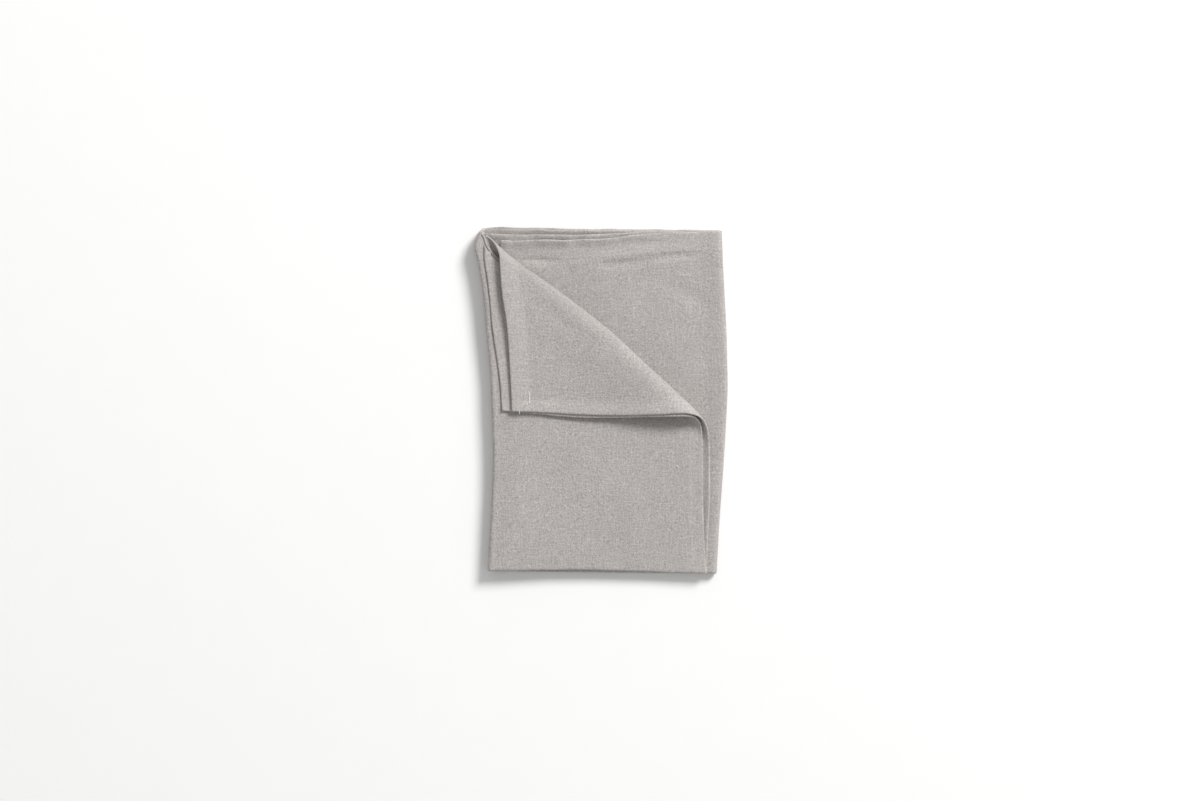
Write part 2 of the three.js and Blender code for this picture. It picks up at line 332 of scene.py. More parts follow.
@dataclass(frozen=True)
class HandFolding:
    """Everything uneven about the folded cloth: its slow waves and its creases.

    Each layer also has a little waviness of its own, small enough to stay clear of the next.
    """

    middle_waves: SlowWaves = SlowWaves(height=0.16, length=52, seed=11)
    top_waves: SlowWaves = SlowWaves(height=0.26, length=64, seed=23)
    corner_waves: SlowWaves = SlowWaves(height=0.12, length=46, seed=37)
    layer_waves: SlowWaves = SlowWaves(height=0.05, length=27, seed=41)
    creases: tuple[Crease, ...] = (
        Crease(Panel.MIDDLE, (-58, 94.5), (-26, 93.5), 4.6, -0.9, 0.6),
        Crease(Panel.MIDDLE, (-56, 91.6), (-24, 90.0), 1.8, -0.8, 0.6),
        Crease(Panel.MIDDLE, (-50, 95.5), (-30, 95.0), 2.4, 0.35),
        Crease(Panel.MIDDLE, (-2, 88.5), (30, 91.5), 1.7, -1.3, -0.8),
        Crease(Panel.MIDDLE, (28, 91.8), (64, 95.5), 1.8, -1.05, 0.5),
        Crease(Panel.MIDDLE, (2, 93.0), (34, 95.5), 2.3, 0.5),
        Crease(Panel.MIDDLE, (-37, 84), (75, -13), 9.0, -0.6, 2.0),
        Crease(Panel.MIDDLE, (18, 102.0), (44, 102.6), 1.9, -0.7, 0.4),
        Crease(Panel.MIDDLE, (-28, 84.2), (-10, 84.6), 1.8, -0.4),
        Crease(Panel.MIDDLE, (40, 76), (70, 62), 5.0, -0.65, 1.5),
        Crease(Panel.MIDDLE, (44, 30), (66, 58), 6.0, 0.45),
        Crease(Panel.CORNER, (-48, 70), (-4, 36), 5.0, -0.45, -1.0),
        Crease(Panel.CORNER, (-36, 75), (2, 43), 4.0, 0.5),
        Crease(Panel.CORNER, (-2, 42), (24, 21), 1.3, -0.22, -0.5),
        Crease(Panel.CORNER, (4, 43), (27, 24), 1.2, 0.26, -0.5),
        Crease(Panel.TOP, (-50, -20), (-58, -100), 8.0, 0.5),
        Crease(Panel.TOP, (10, -30), (40, -92), 9.0, -0.4, 3.0),
    )

    def rise(self, panel: Panel, x: Array, y: Array) -> Array:
        """Adds up the waves and the creases of one panel.

        Args:
            panel: The panel.
            x: Places across the napkin.
            y: Places up the napkin.

        Returns:
            How far the panel stands above its plain level at each place.
        """
        waves = {
            Panel.MIDDLE: self.middle_waves,
            Panel.TOP: self.top_waves,
            Panel.CORNER: self.corner_waves,
        }[panel]
        rise = waves.at(x, y)
        for crease in self.creases:
            if crease.panel is panel:
                rise = rise + crease.at(x, y)
        return rise


@dataclass(frozen=True)
class FoldProfile:
    """The section of a side fold, from its top round to its bottom, at a radius of one.

    It is a superellipse: a circle at a squareness of 2, and flatter on three sides above that.
    """

    squareness: float
    steps: int = 721

    def outline(self) -> tuple[Array, Array, Array]:
        """Walks along the section.

        Returns:
            Lengths along it, with how far out and how high it lies there.
        """
        angle = np.linspace(0, math.pi, self.steps)
        out = np.abs(np.sin(angle)) ** (2 / self.squareness)
        up = np.sign(np.cos(angle)) * np.abs(np.cos(angle)) ** (2 / self.squareness)
        walked = np.concatenate([[0], np.hypot(np.diff(out), np.diff(up)).cumsum()])
        return walked, out, up

    @property
    def length(self) -> float:
        """Length of the whole section."""
        return float(self.outline()[0][-1])

    def at(self, walk: Array) -> tuple[Array, Array]:
        """Returns how far out and how high the section lies at a length along it."""
        walked, out, up = self.outline()
        return np.interp(walk, walked, out), np.interp(walk, walked, up)


@dataclass(frozen=True)
class CornerRoll:
    """The roll in which both layers of the top panel turn back.

    It is measured along a straight line from its upper end, and outwards from that line. An inset
    is a fixed part and a share of the table's inset, by which the outer layer lies inside the inner
    one.
    """

    origin: tuple[float, float] = (-76.8, 102.0)
    heading: tuple[float, float] = (0.7515, -0.6597)
    outline_offset: float = 5.2
    outline_inset: tuple[float, float] = (0.0, 1.0)
    reach_inset: tuple[float, float] = (1.5, 0.5)
    rise_inset: tuple[float, float] = (1.125, 0.25)
    tightest_reach: float = 1.0
    tightest_rise: float = 1.05
    edge: tuple[RollRow, ...] = (
        RollRow(along=-2, bow=1.8, reach=2.4, rise=2.5, inset=2.4),
        RollRow(along=4, bow=0.9, reach=2.8, rise=2.7, inset=5.0),
        RollRow(along=12, bow=0.5, reach=4.4, rise=3.2, inset=6.0),
        RollRow(along=25, bow=0.7, reach=6.0, rise=3.4, inset=5.1),
        RollRow(along=50, bow=3.6, reach=7.4, rise=3.4, inset=3.1),
        RollRow(along=80, bow=6.0, reach=9.0, rise=3.5, inset=1.9),
        RollRow(along=103, bow=7.0, reach=9.2, rise=3.9, inset=1.5),
        RollRow(along=130, bow=6.2, reach=8.4, rise=4.6, inset=1.5),
        RollRow(along=160, bow=5.6, reach=9.0, rise=5.8, inset=1.5),
        RollRow(along=180, bow=4.2, reach=9.6, rise=6.4, inset=2.8),
        RollRow(along=199, bow=0.0, reach=10.0, rise=6.6, inset=4.4),
    )

    def size(self, along: Array, column: str) -> Array:
        """Reads one column of the roll's table."""
        return read_rows(self.edge, "along", column, along)

    def inset(self, along: Array, side: Array, parts: tuple[float, float]) -> Array:
        """Returns how far inside the inner layer each layer lies, by the parts of the inset."""
        return (side + 1) / 2 * (parts[0] + parts[1] * self.size(along, "inset"))

    def reach(self, along: Array, side: Array) -> Array:
        """Returns half the width of each layer's own roll."""
        reach = self.size(along, "reach") - self.inset(along, side, self.reach_inset)
        return np.maximum(reach, self.tightest_reach)

    def rise(self, along: Array, side: Array) -> Array:
        """Returns half the height of each layer's own roll."""
        rise = self.size(along, "rise") - self.inset(along, side, self.rise_inset)
        return np.maximum(rise, self.tightest_rise)

    def curl_offset(self, along: Array, side: Array) -> Array:
        """Returns how far outside the straight line each layer starts to curl up."""
        outline = self.outline_offset + self.size(along, "bow")
        return outline - self.inset(along, side, self.outline_inset) - self.reach(along, side)

    def measured(self, x: Array, y: Array, side: Array) -> tuple[Array, Array]:
        """Measures places against the line where a layer of the top panel starts to curl up.

        Args:
            x: Places across the napkin.
            y: Places up the napkin.
            side: The side of the doubled cloth.

        Returns:
            How far along the roll each place lies, and how far outside its curl line.
        """
        from_x, from_y = x - self.origin[0], y - self.origin[1]
        along = from_x * self.heading[0] + from_y * self.heading[1]
        outward = from_y * self.heading[0] - from_x * self.heading[1]
        return along, outward - self.curl_offset(along, side)

    def point(self, along: Array, outward: Array) -> tuple[Array, Array]:
        """Returns X and Y of places along the straight line and outwards from it."""
        x = self.origin[0] + along * self.heading[0] - outward * self.heading[1]
        return x, self.origin[1] + along * self.heading[1] + outward * self.heading[0]


@dataclass(frozen=True)
class FoldedShape:
    """The map from the flat square to the folded napkin, as the middle of the cloth.

    The doubled cloth is walked in stations: 0 is its loose edge on the middle panel, 0 to 1 that
    panel, 1 to 2 the right fold, 2 to 3 the base panel, 3 to 4 the left fold, and 4 to 5 the top
    panel. Side +1 is the outer layer and -1 the inner one.
    """

    cut: ClothCut = ClothCut()
    folding: HandFolding = HandFolding()
    roll: CornerRoll = CornerRoll()
    outline_centre: tuple[float, float] = (0.65, -0.2)
    # The pile of layers and its side folds
    layer_pitch: float = 1.5
    panel_pitch: float = 3.0
    half_pair: float = 1.3
    middle_swell_share: float = 0.4
    left_bulk: float = 2.0
    left_bulk_reach: float = 30.0
    right_bulk: float = 0.9
    right_bulk_reach: float = 7.0
    left_profile: FoldProfile = FoldProfile(squareness=5.0)
    right_profile: FoldProfile = FoldProfile(squareness=2.2)
    left_lip: float = 1.1
    # Rounds of the sums that are found in turns
    fold_rounds: int = 4
    corner_rounds: int = 3
    # Waves and curls of the loose edges
    free_past_fold: float = 12.0
    layer_wave_levels: tuple[float, float] = (2.0, 4.0)
    hem_curl: float = 2.0
    hem_curl_reach: float = 3.3
    hem_curl_fade: tuple[float, float] = (5.0, 38.0)
    hem_curl_right: float = 0.2
    hem_curl_waves: SlowWaves = SlowWaves(height=0.4, length=19, seed=61)
    hem_waves: SlowWaves = SlowWaves(height=0.2, length=21, seed=53)
    hem_waves_apart: float = 30.0
    side_curl: tuple[float, float] = (1.5, 0.5)
    side_curl_reach: tuple[float, float] = (2.0, 3.2)
    side_curl_fade: tuple[float, float] = (-112.0, -80.0)
    side_curl_at_fold: float = 0.1
    # Outlines and loose edges of the panels
    side_folds: tuple[SideFoldRow, ...] = (
        SideFoldRow(y=-113, left=-73.4, right=76.2, swell=0.0),
        SideFoldRow(y=-80, left=-71.6, right=78.0, swell=0.2),
        SideFoldRow(y=-39, left=-69.9, right=80.9, swell=0.4),
        SideFoldRow(y=5, left=-71.2, right=83.3, swell=0.5),
        SideFoldRow(y=20, left=-71.9, right=83.2, swell=0.6),
        SideFoldRow(y=45, left=-74.4, right=82.6, swell=0.7),
        SideFoldRow(y=65, left=-75.9, right=81.6, swell=0.8),
        SideFoldRow(y=88, left=-79.4, right=80.4, swell=1.1),
        SideFoldRow(y=99, left=-82.0, right=80.0, swell=1.2),
        SideFoldRow(y=106, left=-80.6, right=79.7, swell=1.0),
        SideFoldRow(y=113, left=-76.5, right=79.4, swell=0.8),
    )
    fold_end: tuple[FoldEndRow, ...] = (
        FoldEndRow(station=0, y=-111.5),
        FoldEndRow(station=1, y=-112.8),
        FoldEndRow(station=2, y=-113.0),
        FoldEndRow(station=3, y=-111.5),
        FoldEndRow(station=4, y=-111.0),
        FoldEndRow(station=4.4, y=-110.4),
        FoldEndRow(station=5, y=-112.8),
    )
    loose_hems: tuple[LayerRow, ...] = (
        LayerRow(at=0, inner=107.9, outer=103.7),
        LayerRow(at=0.45, inner=107.5, outer=104.7),
        LayerRow(at=0.65, inner=109.5, outer=107.9),
        LayerRow(at=1, inner=110.4, outer=109.6),
        LayerRow(at=2, inner=110.4, outer=110.8),
        LayerRow(at=2.5, inner=110.4, outer=111.2),
        LayerRow(at=3, inner=111.5, outer=112.5),
        LayerRow(at=3.5, inner=110.2, outer=110.9),
        LayerRow(at=4, inner=108.0, outer=108.0),
    )
    middle_edge_offset: float = 2.5
    middle_edge_retreat: tuple[float, float] = (0.8, 9.3)
    right_edge: tuple[LayerRow, ...] = (
        LayerRow(at=-113, inner=69.2, outer=68.7),
        LayerRow(at=-91, inner=69.7, outer=67.4),
        LayerRow(at=-65, inner=70.9, outer=66.5),
        LayerRow(at=-30, inner=71.1, outer=66.3),
    )
    # The turned corner
    corner_side_edge: tuple[LayerRow, ...] = (
        LayerRow(at=-6.5, inner=-56.6, outer=-63.1),
        LayerRow(at=12.7, inner=-57.5, outer=-64.4),
        LayerRow(at=48, inner=-59.8, outer=-69.4),
        LayerRow(at=70, inner=-63.0, outer=-71.4),
        LayerRow(at=92, inner=-64.6, outer=-74.6),
    )
    corner_lower_edge: tuple[LayerRow, ...] = (
        LayerRow(at=-60, inner=-6.4, outer=-6.4),
        LayerRow(at=-38.7, inner=-7.2, outer=-8.5),
        LayerRow(at=-12.7, inner=-8.6, outer=-10.6),
        LayerRow(at=13.3, inner=-9.1, outer=-10.7),
        LayerRow(at=39.3, inner=-8.5, outer=-10.1),
        LayerRow(at=54, inner=-7.6, outer=-9.9),
    )
    corner_side_lift: tuple[LayerRow, ...] = (
        LayerRow(at=-6.5, inner=0.4, outer=-0.6),
        LayerRow(at=12.7, inner=0.9, outer=-0.8),
        LayerRow(at=42, inner=1.0, outer=-1.0),
        LayerRow(at=70, inner=1.2, outer=-2.2),
        LayerRow(at=92, inner=1.2, outer=-2.6),
    )
    corner_clearance: float = 0.35
    corner_from_turn: float = 0.4
    corner_side_reach: tuple[float, float] = (8.5, 20.0)
    corner_lower_lift: float = 0.7
    corner_lower_reach: float = 5.0
    corner_settle: float = 58.0

    @property
    def half_pitch(self) -> float:
        """Half the distance between the middles of two layers."""
        return self.layer_pitch / 2

    def half_fold(self, along: Array) -> tuple[Array, Array, Array]:
        """Bends the cloth double round the half fold.

        Args:
            along: Places along the flat cloth.

        Returns:
            The side of the doubled cloth, how far the bend dips past it, and how far the place
            lies from the bend.
        """
        bend_length = math.pi * self.half_pitch / 2
        angle = np.clip(along, -bend_length, bend_length) / self.half_pitch
        past_bend = np.maximum(np.abs(along) - bend_length, 0)
        return np.sin(angle), self.half_pitch * np.cos(angle), past_bend

    def levels(self, y: Array) -> tuple[Array, Array]:
        """Returns the heights of the middle panel and of the top panel, away from their folds."""
        swell = read_rows(self.side_folds, "y", "swell", y)
        middle = self.half_pair + self.panel_pitch + self.middle_swell_share * swell
        return middle, self.half_pair + 2 * self.panel_pitch + swell

    def left_fold(self, y: Array) -> tuple[Array, Array]:
        """Returns the centre and the radius of the left fold."""
        radius = (self.levels(y)[1] + self.left_bulk - self.half_pair) / 2
        return read_rows(self.side_folds, "y", "left", y) + self.half_pair + radius, radius

    def zones(self, y: Array, side: Array) -> Zones:
        """Finds the panels and the side folds at a height of the napkin.

        Each fold is a little thicker than the panels that it joins.

        Args:
            y: Places up the napkin.
            side: The side of the doubled cloth.

        Returns:
            The zones of each place's own row.
        """
        middle, _ = self.levels(y)
        left, left_radius = self.left_fold(y)
        right_radius = (middle + self.right_bulk - self.half_pair) / 2
        right = read_rows(self.side_folds, "y", "right", y) - self.half_pair - right_radius
        share = np.clip((y + self.cut.half / 2) / self.cut.half, 0, 1)
        retreat = by_side(*self.middle_edge_retreat, side)
        middle_run = right - left - self.middle_edge_offset - retreat * share
        top_edge = by_layer(self.right_edge, y, side)
        offset = side * self.half_pitch
        top_end = top_edge - left
        left_end = top_end + self.left_profile.length * (left_radius + offset)
        right_end = self.cut.side - middle_run
        base_end = right_end - self.right_profile.length * (right_radius + offset)
        ends = (top_end, left_end, base_end, right_end)
        return Zones(left, left_radius, right, right_radius, top_edge, ends)

    def station(self, across: Array, zones: Zones) -> Array:
        """Finds which panel or fold each place lies on, and how far through it.

        Args:
            across: Places across the flat cloth.
            zones: The zones of each place's row.

        Returns:
            The station round the section at each place.
        """
        starts = (0.0, *zones.ends)
        ends = (*zones.ends, self.cut.side)
        stations = [
            5 - number - (across - start) / (end - start)
            for number, (start, end) in enumerate(zip(starts, ends))
        ]
        return np.select([across <= end for end in zones.ends], stations[:-1], stations[-1])

    def row_y(self, across: Array, side: Array, reach: Array) -> Array:
        """Finds how far up the napkin a place lies.

        Each layer is eased over its length until its loose hem lies where it was left. A row's
        folds depend on its height and the other way round, so both are found in turns.

        Args:
            across: Places across the flat cloth.
            side: The side of the doubled cloth.
            reach: Distance from the half fold.

        Returns:
            Y at each place, before the top panel's corner is turned.
        """
        length = self.cut.half - math.pi * self.half_pitch / 2
        waviness = self.hem_waves.at(across, self.hem_waves_apart * side)
        y = self.fold_end[0].y + self.half_pair + reach
        for _ in range(self.fold_rounds):
            station = self.station(across, self.zones(y, side))
            low = read_rows(self.fold_end, "station", "y", station) + self.half_pair
            hem = by_layer(self.loose_hems, station, side) + waviness
            on_top = np.clip(station - 4, 0, 1)
            spare = (length - (hem - low)) * (1 - on_top)
            y = low + reach - spare * (reach / length) ** 2
        return y

    def top_level(self, x: Array, y: Array) -> Array:
        """Returns the height of the top panel, which the left fold props up beside it."""
        away = np.maximum(x - self.left_fold(y)[0], 0)
        return self.levels(y)[1] + self.left_bulk * bell(away, self.left_bulk_reach)

    def corner_plan(self, across: Array, along: Array, side: Array) -> tuple[Array, Array]:
        """Lays the turned corner out from its two loose edges.

        Args:
            across: Distance from the cloth's edge, which is the corner's lower edge.
            along: Places along the flat cloth.
            side: The side of the doubled cloth.

        Returns:
            X and Y of each place, good wherever the corner lies on the top panel.
        """
        inward = self.cut.half - np.abs(along)
        x = by_layer(self.corner_side_edge, np.zeros_like(across), side) + inward
        for _ in range(self.corner_rounds):
            y = by_layer(self.corner_lower_edge, x, side) + across
            x = by_layer(self.corner_side_edge, y, side) + inward
        return x, y

    def corner_height(self, flat: Array, plan: Array, side: Array) -> Array:
        """Finds how high the turned corner lies, sinking from the roll until it rests.

        Its loose edges stand up a little.

        Args:
            flat: Across and along of each place.
            plan: X and Y of each place on the corner.
            side: The side of the doubled cloth.

        Returns:
            Z of each place.
        """
        along, outside = self.roll.measured(*plan, side)
        top = self.top_level(*plan)
        offset = side * self.half_pitch
        rolled = top + offset + 2 * self.roll.rise(along, side)
        settled = ease(-outside, 0, self.corner_settle)
        height = blend(rolled, top + self.panel_pitch - offset, settled)
        height += self.corner_lift(flat, plan, side) + self.folding.rise(Panel.CORNER, *plan)
        return np.maximum(height, top + self.layer_pitch + self.corner_clearance)

    def corner_lift(self, flat: Array, plan: Array, side: Array) -> Array:
        """Lifts the turned corner's two loose edges.

        Args:
            flat: Across and along of each place.
            plan: X and Y of each place on the corner.
            side: The side of the doubled cloth.

        Returns:
            How far each place stands up.
        """
        reach = by_side(*self.corner_side_reach, side)
        lift = by_layer(self.corner_side_lift, plan[1], side)
        lift = lift * bell(self.cut.half - np.abs(flat[1]), reach)
        return lift + self.corner_lower_lift * bell(flat[0], self.corner_lower_reach)

    def turned_corner(self, flat: Array, plan: Array, side: Array) -> Array:
        """Turns what lies outside the curl line back over the top panel.

        Args:
            flat: Across and along of each place.
            plan: X and Y of each place, as if the corner weren't turned.
            side: The side of the doubled cloth.

        Returns:
            Places in the roll or on the corner. Those inside the curl line aren't of use.
        """
        along_panel, past_curl = self.roll.measured(*plan, side)
        corner = np.stack(self.corner_plan(*flat, side))
        along_corner, short_of_corner = self.roll.measured(*corner, side)
        past_curl = np.maximum(past_curl, 1e-9)
        turn = past_curl / (past_curl + np.maximum(short_of_corner, 0))
        along = blend(along_panel, along_corner, turn)
        out = self.roll.curl_offset(along, side)
        curl = self.roll.point(along, out)
        late = ease(turn, self.corner_from_turn, 1)
        rise = self.roll.rise(along, side) * (1 - np.cos(math.pi * turn))
        rise += self.folding.rise(Panel.TOP, *curl)
        rise += late * self.folding.rise(Panel.CORNER, *curl)
        rise += late * self.corner_lift(flat, corner, side)
        rise += (1 - turn) * self.side_lift(flat[0], plan[1], side)
        rise += self.top_level(*curl) + side * self.half_pitch
        reach = self.roll.reach(along, side) * np.sin(math.pi * turn)
        rolled = np.stack([*self.roll.point(along, out + reach), rise])
        height = self.corner_height(flat, corner, side) + self.folding.rise(Panel.TOP, *corner)
        return np.where(short_of_corner <= 0, np.stack([*corner, height]), rolled)

    def hem_lift(self, x: Array, along: Array) -> Array:
        """Returns how far the wide hems' loose edges curl up, which is less towards the right."""
        curl = blend(1, self.hem_curl_right, ease(x, *self.hem_curl_fade))
        curl = self.hem_curl * curl * (1 + self.hem_curl_waves.at(x, 0 * x))
        return curl * bell(self.cut.half - np.abs(along), self.hem_curl_reach)

    def side_lift(self, across: Array, y: Array, side: Array) -> Array:
        """Returns how far the top panel's loose side edges stand up, less near the half fold."""
        fade = blend(self.side_curl_at_fold, 1, ease(y, *self.side_curl_fade))
        curl = fade * by_side(*self.side_curl, side)
        return curl * bell(across, by_side(*self.side_curl_reach, side))

    def wrapped(self, flat: Array, y: Array, side: Array, zones: Zones) -> tuple[Array, Array]:
        """Wraps the doubled cloth round both side folds.

        Args:
            flat: Across and along of each place.
            y: Places up the napkin.
            side: The side of the doubled cloth.
            zones: The zones of each place's row.

        Returns:
            X and Z of each place.
        """
        across, along = flat
        offset = side * self.half_pitch
        left, left_radius, right, right_radius, top_edge, _ = zones
        past_top, past_left, past_base, past_right = (across - end for end in zones.ends)
        left_bend = left_radius + offset
        right_bend = right_radius + offset
        left_out, left_up = self.left_profile.at(past_top / left_bend)
        right_out, right_down = self.right_profile.at(past_base / right_bend)
        base_x = left + (right - left) * past_left / (past_left - past_base)
        top_x = top_edge - across
        top_z = self.top_level(top_x, y) + offset + self.folding.rise(Panel.TOP, top_x, y)
        fold_rise = self.folding.rise(Panel.TOP, left, y) * (1 + left_up) / 2
        fold_rise = fold_rise + self.left_lip * left_out**2 * np.maximum(left_up, 0)
        middle_x = right - past_right
        beside_fold = bell(past_right, self.right_bulk_reach)
        middle_z = self.levels(y)[0] + self.right_bulk * beside_fold + offset
        uneven = self.folding.rise(Panel.MIDDLE, middle_x, y) + self.hem_lift(middle_x, along)
        free = [ease(past, 0, self.free_past_fold) for past in (past_left, -past_base, past_right)]
        base_lift = free[0] * free[1] * self.hem_lift(base_x, along)
        inside = [across <= end for end in zones.ends]
        panel_x = [top_x, left - left_bend * left_out, base_x, right + right_bend * right_out]
        panel_z = [
            top_z + self.side_lift(across, y, side),
            self.half_pair + left_radius + left_bend * left_up + fold_rise,
            self.half_pair - offset + base_lift,
            self.half_pair + right_radius - right_bend * right_down,
        ]
        x = np.select(inside, panel_x, middle_x)
        return x, np.select(inside, panel_z, middle_z + free[2] * uneven)

    def place(self, across: Array, along: Array) -> Array:
        """Puts places on the flat cloth where they lie on the folded napkin.

        Args:
            across: Places across the flat cloth.
            along: Places along the flat cloth.

        Returns:
            The middle of the cloth, as rows of X, Y and Z, centred on the napkin's outline.
        """
        flat = np.stack(np.broadcast_arrays(np.asarray(across, float), np.asarray(along, float)))
        side, dip, reach = self.half_fold(flat[1])
        y = self.row_y(flat[0], side, reach) - dip
        zones = self.zones(y, side)
        x, z = self.wrapped(flat, y, side, zones)
        z = z + side * self.folding.layer_waves.at(x, y) * ease(z, *self.layer_wave_levels)
        plan = np.stack([zones.top_edge - flat[0], y])
        is_turned = (plan[0] > zones.left) & (self.roll.measured(*plan, side)[1] > 0)
        points = np.where(is_turned, self.turned_corner(flat, plan, side), np.stack([x, y, z]))
        points[0] -= self.outline_centre[0]
        points[1] -= self.outline_centre[1]
        return points

    def frame_at(
        self, across: Array, along: Array, step: float = 0.05
    ) -> tuple[Array, Array, Array, Array]:
        """Finds places on the folded cloth with the cloth's directions there.

        Args:
            across: Places across the flat cloth.
            along: Places along the flat cloth.
            step: How far to look to each side for the directions.

        Returns:
            Places, outward normals, and the directions of rising across and rising along.
        """
        half = self.cut.half
        one_way = self.place(np.maximum(across - step, 0), along)
        other_way = self.place(np.minimum(across + step, self.cut.side), along)
        run_across = other_way - one_way
        run_along = self.place(across, np.minimum(along + step, half))
        run_along = run_along - self.place(across, np.maximum(along - step, -half))
        normal = unit(np.cross(run_along, run_across, axis=0))
        return self.place(across, along), normal, unit(run_across), unit(run_along)


def unit(vectors: Array) -> Array:
    """Returns vectors, held in rows of X, Y and Z, at a length of one."""
    return vectors / np.maximum(np.linalg.norm(vectors, axis=0), 1e-12)


def lines(stretches: Sequence[Stretch]) -> Array:
    """Divides stretches that follow each other.

    Args:
        stretches: The stretches.

    Returns:
        The places of the mesh's lines.
    """
    places = [np.array([stretches[0].start])]
    for stretch in stretches:
        count = max(round((stretch.end - stretch.start) / stretch.step), 1)
        places.append(np.linspace(stretch.start, stretch.end, count + 1)[1:])
    return np.concatenate(places)


def new_piece(name: str, points: Array, faces: list) -> Object:
    """Makes a smooth-shaded piece from its points and faces.

    Args:
        name: The piece's name.
        points: Rows of X, Y and Z for each point, in mm.
        faces: Corners of each face, wound so that it points outwards.

    Returns:
        The new object, at the origin.
    """
    mesh = bpy.data.meshes.new(name)
    mesh.from_pydata((points * MM).tolist(), [], faces)
    mesh.shade_smooth()
    piece = bpy.data.objects.new(name, mesh)
    bpy.context.scene.collection.objects.link(piece)
    return piece


def add_map(piece: Object, name: str, corner_places: Array) -> None:
    """Gives a piece a UV map.

    Args:
        piece: The piece.
        name: The map's name.
        corner_places: U and V of each corner of each face.
    """
    layer = piece.data.uv_layers.new(name=name, do_init=False)
    layer.uv.foreach_set("vector", corner_places.astype(np.float32).ravel())


class Sketch:
    """A material's nodes, added one after another."""

    def __init__(self, name: str) -> None:
        """Starts a material that holds one Principled shader and its output.

        Args:
            name: The material's name.
        """
        self.material = bpy.data.materials.new(name)
        self.material.use_nodes = True
        self.tree = self.material.node_tree
        self.tree.nodes.clear()
        self.shader = self.tree.nodes.new("ShaderNodeBsdfPrincipled")
        output = self.tree.nodes.new("ShaderNodeOutputMaterial")
        self.tree.links.new(self.shader.outputs["BSDF"], output.inputs["Surface"])

    def node(self, kind: str, feeds: dict[str | int, Feed], **settings: str) -> bpy.types.Node:
        """Adds a node.

        Args:
            kind: The node's type.
            feeds: What goes into its inputs, by name or by number.
            **settings: Its properties.

        Returns:
            The node.
        """
        node = self.tree.nodes.new(kind)
        for key, value in settings.items():
            setattr(node, key, value)
        for socket, value in feeds.items():
            self.feed(node.inputs[socket], value)
        return node

    def feed(self, socket: Socket, value: Feed) -> None:
        """Links another node's output to a socket, or sets the socket to a plain value.

        Args:
            socket: The input.
            value: The output or the value.
        """
        if isinstance(value, Socket):
            self.tree.links.new(value, socket)
        else:
            socket.default_value = value

    def dress(self, feeds: dict[str, Feed]) -> None:
        """Feeds the shader's inputs, by name."""
        for name, value in feeds.items():
            self.feed(self.shader.inputs[name], value)

    def map(self, name: str) -> Socket:
        """Reads a UV map."""
        return self.node("ShaderNodeUVMap", {}, uv_map=name).outputs[0]

    def math(self, operation: str, *values: Feed) -> Socket:
        """Adds a math node and returns its result."""
        return self.node("ShaderNodeMath", dict(enumerate(values)), operation=operation).outputs[0]

    def centred(self, value: Feed) -> Socket:
        """Moves a value that lies round a half to lie round nought."""
        return self.math("SUBTRACT", value, 0.5)

    def axes(self, vector: Socket) -> Sequence[Socket]:
        """Splits a place into its X, Y and Z."""
        return self.node("ShaderNodeSeparateXYZ", {0: vector}).outputs

    def laid(self, vector: Socket, sizes: tuple[float, float], turn: float = 0.0) -> Socket:
        """Divides a place into steps of the given sizes, along axes turned by an angle."""
        feeds = {"Vector": vector, "Rotation": (0, 0, turn), "Scale": (*sizes, 1.0)}
        return self.node("ShaderNodeMapping", feeds, vector_type="TEXTURE").outputs[0]

    def noise(self, vector: Socket, detail: float, output: str = "Fac") -> Socket:
        """Adds soft noise, about one blotch to each unit of the place, and returns its value."""
        feeds = {"Vector": vector, "Scale": 1.0, "Detail": detail}
        return self.node("ShaderNodeTexNoise", feeds).outputs[output]

    def ramped(
        self, value: Feed, low: float, high: float, to_low: float = 0.0, to_high: float = 1.0
    ) -> Socket:
        """Turns a range of values into another one, smoothly and within its ends."""
        feeds = dict(enumerate((value, low, high, to_low, to_high)))
        return self.node("ShaderNodeMapRange", feeds, interpolation_type="SMOOTHSTEP").outputs[0]

    def weighted_sum(self, *terms: tuple[Feed, float]) -> Socket:
        """Adds up values.

        Args:
            *terms: Each value with its weight.

        Returns:
            Their sum.
        """
        total = 0.0
        for value, weight in terms:
            total = self.math("MULTIPLY_ADD", value, weight, total)
        return total

    def tinted(self, colour: tuple[float, float, float], gain: Feed) -> Socket:
        """Multiplies a colour by a gain."""
        feeds = {0: colour, "Scale": gain}
        return self.node("ShaderNodeVectorMath", feeds, operation="SCALE").outputs[0]

    def bump(self, height: Socket, distance: float) -> None:
        """Gives the shader a relief."""
        relief = self.node("ShaderNodeBump", {"Distance": distance, "Height": height})
        self.dress({"Normal": relief.outputs["Normal"]})


